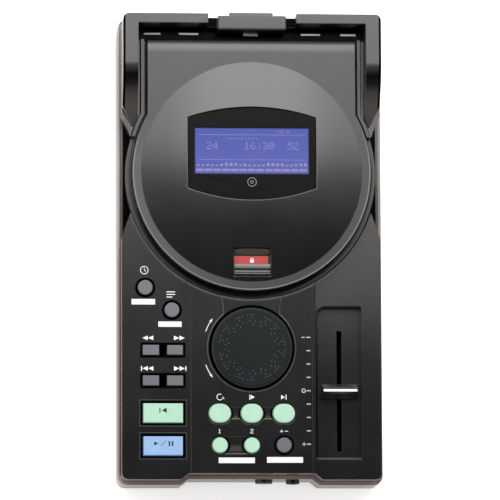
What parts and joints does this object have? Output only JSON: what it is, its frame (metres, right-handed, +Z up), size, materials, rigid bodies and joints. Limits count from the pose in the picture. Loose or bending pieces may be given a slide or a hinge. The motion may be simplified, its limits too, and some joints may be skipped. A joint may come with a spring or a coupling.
{
  "type": "dj disc player",
  "caption": "Tabletop disc player for mixing music: hinged round lid with a display, jog wheel, tempo fader, lit keys, grip rails and rear sockets.",
  "frame": {"origin": "on the table, under the middle of the whole object's box", "axes": "+Z up, -Y towards the front edge with the headphone socket, +X to the right"},
  "size_m": [0.154, 0.2732, 0.058],
  "materials": {
    "black_matte": "fine moulded texture",
    "black_gloss": "glossy",
    "black_satin": "satin",
    "lid_gloss": "glossy",
    "bezel_gloss": "glossy",
    "zinc_steel": "zinc plated",
    "damper_rubber": "soft",
    "foot_rubber": "matte",
    "motor_can": "nickel plated",
    "hub_plastic": "satin",
    "polished_steel": "polished",
    "sled_plastic": "moulded",
    "lens_glass": "clear with a blue coating",
    "gear_plastic": "natural white",
    "brass": "machined",
    "board_green": "solder resist",
    "switch_black": "moulded",
    "grey_plastic": "moulded",
    "socket_metal": "nickel plated",
    "jog_plastic": "satin",
    "fader_plastic": "satin",
    "key_grey": "satin",
    "key_green": "translucent, lit from below",
    "key_blue": "translucent, lit from below",
    "slider_plastic": "satin",
    "display_glass": "lit blue display",
    "screw_steel": "zinc plated"
  },
  "bodies": {
    "case": {"bottom_case": "black_matte", "top_cover": "black_gloss", "control_panel": "black_gloss", "left_rail": "black_satin", "right_rail": "black_satin", "rear_bridge": "black_satin", "rear_panel": "black_matte", "disc_well": "black_satin", "mech_chassis": "zinc_steel", "chassis_dampers": "damper_rubber", "spindle_motor": "motor_can", "guide_rods": "polished_steel", "sled_motor": "motor_can", "main_board": "board_green", "key_board": "board_green", "key_switches": "switch_black", "power_inlet": "switch_black", "power_switch": "switch_black", "line_sockets": "socket_metal", "digital_socket": "socket_metal", "remote_jack": "switch_black", "phones_jack": "switch_black", "phones_control": "motor_can", "jog_encoder": "motor_can", "fader_body": "motor_can", "hinge_pins": "polished_steel", "feet": "foot_rubber", "case_screws": "screw_steel"},
    "lid": {"lid_shell": "lid_gloss", "lid_liner": "black_satin", "display_bezel": "bezel_gloss", "display_module": "display_glass"},
    "lock": {"lock_slider": "slider_plastic"},
    "hub": {"spindle_hub": "hub_plastic", "hub_balls": "polished_steel"},
    "sled": {"pickup_sled": "sled_plastic", "lens_holder": "sled_plastic"},
    "lens": {"pickup_lens": "lens_glass"},
    "gear": {"drive_gear": "gear_plastic"},
    "pinion": {"motor_pinion": "brass"},
    "jog": {"jog_wheel": "jog_plastic"},
    "fader": {"fader_cap": "fader_plastic", "fader_lever": "zinc_steel"},
    "level_knob": {"phones_knob": "black_matte"},
    "power": {"power_slider": "grey_plastic"},
    "enter_key": {"enter_key": "key_grey"},
    "mode_key": {"mode_key": "key_grey"},
    "search_back_key": {"search_back_key": "key_grey"},
    "search_forward_key": {"search_forward_key": "key_grey"},
    "skip_back_key": {"skip_back_key": "key_grey"},
    "skip_forward_key": {"skip_forward_key": "key_grey"},
    "cue_key": {"cue_key": "key_green"},
    "play_key": {"play_key": "key_blue"},
    "loop_key": {"loop_key": "key_green"},
    "loop_in_key": {"loop_in_key": "key_green"},
    "loop_out_key": {"loop_out_key": "key_green"},
    "hot_cue_1_key": {"hot_cue_1_key": "key_green"},
    "hot_cue_2_key": {"hot_cue_2_key": "key_green"},
    "tempo_key": {"tempo_key": "key_grey"}
  },
  "joints": [
    {"name": "lid_hinge", "type": "hinge", "parent": "case", "child": "lid", "pos_m": [0, 0.1159, 0.043], "axis": [-1, 0, 0], "range_deg": [0, 70]},
    {"name": "lock_slide", "type": "slide", "parent": "lid", "child": "lock", "axis": [0, 1, 0], "range_m": [0, 0.0046]},
    {"name": "hub_spin", "type": "hinge", "parent": "case", "child": "hub", "pos_m": [0, 0.0432, 0.0346], "axis": [0, 0, 1], "continuous": true},
    {"name": "sled_slide", "type": "slide", "parent": "case", "child": "sled", "axis": [0, -1, 0], "range_m": [0, 0.033]},
    {"name": "lens_focus", "type": "slide", "parent": "sled", "child": "lens", "axis": [0, 0, 1], "range_m": [-0.0005, 0.0005], "stiffness_N_per_m": 20},
    {"name": "gear_spin", "type": "hinge", "parent": "case", "child": "gear", "pos_m": [0.02432, -0.0057, 0.015], "axis": [0, 0, 1], "range_deg": [0, 394]},
    {"name": "pinion_spin", "type": "hinge", "parent": "case", "child": "pinion", "pos_m": [0.03138, 0.00653, 0.015], "axis": [0, 0, 1], "range_deg": [-1576, 0]},
    {"name": "jog_spin", "type": "hinge", "parent": "case", "child": "jog", "pos_m": [0, -0.0586, 0.04], "axis": [0, 0, 1], "continuous": true},
    {"name": "fader_slide", "type": "slide", "parent": "case", "child": "fader", "axis": [0, 1, 0], "range_m": [-0.03, 0.03]},
    {"name": "level_turn", "type": "hinge", "parent": "case", "child": "level_knob", "pos_m": [0.0083, -0.1331, 0.0165], "axis": [0, -1, 0], "range_deg": [-135, 135]},
    {"name": "power_slide", "type": "slide", "parent": "case", "child": "power", "axis": [1, 0, 0], "range_m": [0, 0.005]},
    {"name": "enter_press", "type": "slide", "parent": "case", "child": "enter_key", "axis": [0, 0, -1], "range_m": [0, 0.0008], "stiffness_N_per_m": 250, "springref_m": -0.0015},
    {"name": "mode_press", "type": "slide", "parent": "case", "child": "mode_key", "axis": [0, 0, -1], "range_m": [0, 0.0008], "stiffness_N_per_m": 250, "springref_m": -0.0015},
    {"name": "search_back_press", "type": "slide", "parent": "case", "child": "search_back_key", "axis": [0, 0, -1], "range_m": [0, 0.0008], "stiffness_N_per_m": 250, "springref_m": -0.0015},
    {"name": "search_forward_press", "type": "slide", "parent": "case", "child": "search_forward_key", "axis": [0, 0, -1], "range_m": [0, 0.0008], "stiffness_N_per_m": 250, "springref_m": -0.0015},
    {"name": "skip_back_press", "type": "slide", "parent": "case", "child": "skip_back_key", "axis": [0, 0, -1], "range_m": [0, 0.0008], "stiffness_N_per_m": 250, "springref_m": -0.0015},
    {"name": "skip_forward_press", "type": "slide", "parent": "case", "child": "skip_forward_key", "axis": [0, 0, -1], "range_m": [0, 0.0008], "stiffness_N_per_m": 250, "springref_m": -0.0015},
    {"name": "cue_press", "type": "slide", "parent": "case", "child": "cue_key", "axis": [0, 0, -1], "range_m": [0, 0.0008], "stiffness_N_per_m": 250, "springref_m": -0.0015},
    {"name": "play_press", "type": "slide", "parent": "case", "child": "play_key", "axis": [0, 0, -1], "range_m": [0, 0.0008], "stiffness_N_per_m": 250, "springref_m": -0.0015},
    {"name": "loop_press", "type": "slide", "parent": "case", "child": "loop_key", "axis": [0, 0, -1], "range_m": [0, 0.0008], "stiffness_N_per_m": 250, "springref_m": -0.0015},
    {"name": "loop_in_press", "type": "slide", "parent": "case", "child": "loop_in_key", "axis": [0, 0, -1], "range_m": [0, 0.0008], "stiffness_N_per_m": 250, "springref_m": -0.0015},
    {"name": "loop_out_press", "type": "slide", "parent": "case", "child": "loop_out_key", "axis": [0, 0, -1], "range_m": [0, 0.0008], "stiffness_N_per_m": 250, "springref_m": -0.0015},
    {"name": "hot_cue_1_press", "type": "slide", "parent": "case", "child": "hot_cue_1_key", "axis": [0, 0, -1], "range_m": [0, 0.0008], "stiffness_N_per_m": 250, "springref_m": -0.0015},
    {"name": "hot_cue_2_press", "type": "slide", "parent": "case", "child": "hot_cue_2_key", "axis": [0, 0, -1], "range_m": [0, 0.0008], "stiffness_N_per_m": 250, "springref_m": -0.0015},
    {"name": "tempo_press", "type": "slide", "parent": "case", "child": "tempo_key", "axis": [0, 0, -1], "range_m": [0, 0.0008], "stiffness_N_per_m": 250, "springref_m": -0.0015}
  ],
  "couplings": [
    {"joint": "gear_spin", "follows": "sled_slide", "rad_per_m": 208.33},
    {"joint": "pinion_spin", "follows": "sled_slide", "rad_per_m": -833.33}
  ]
}
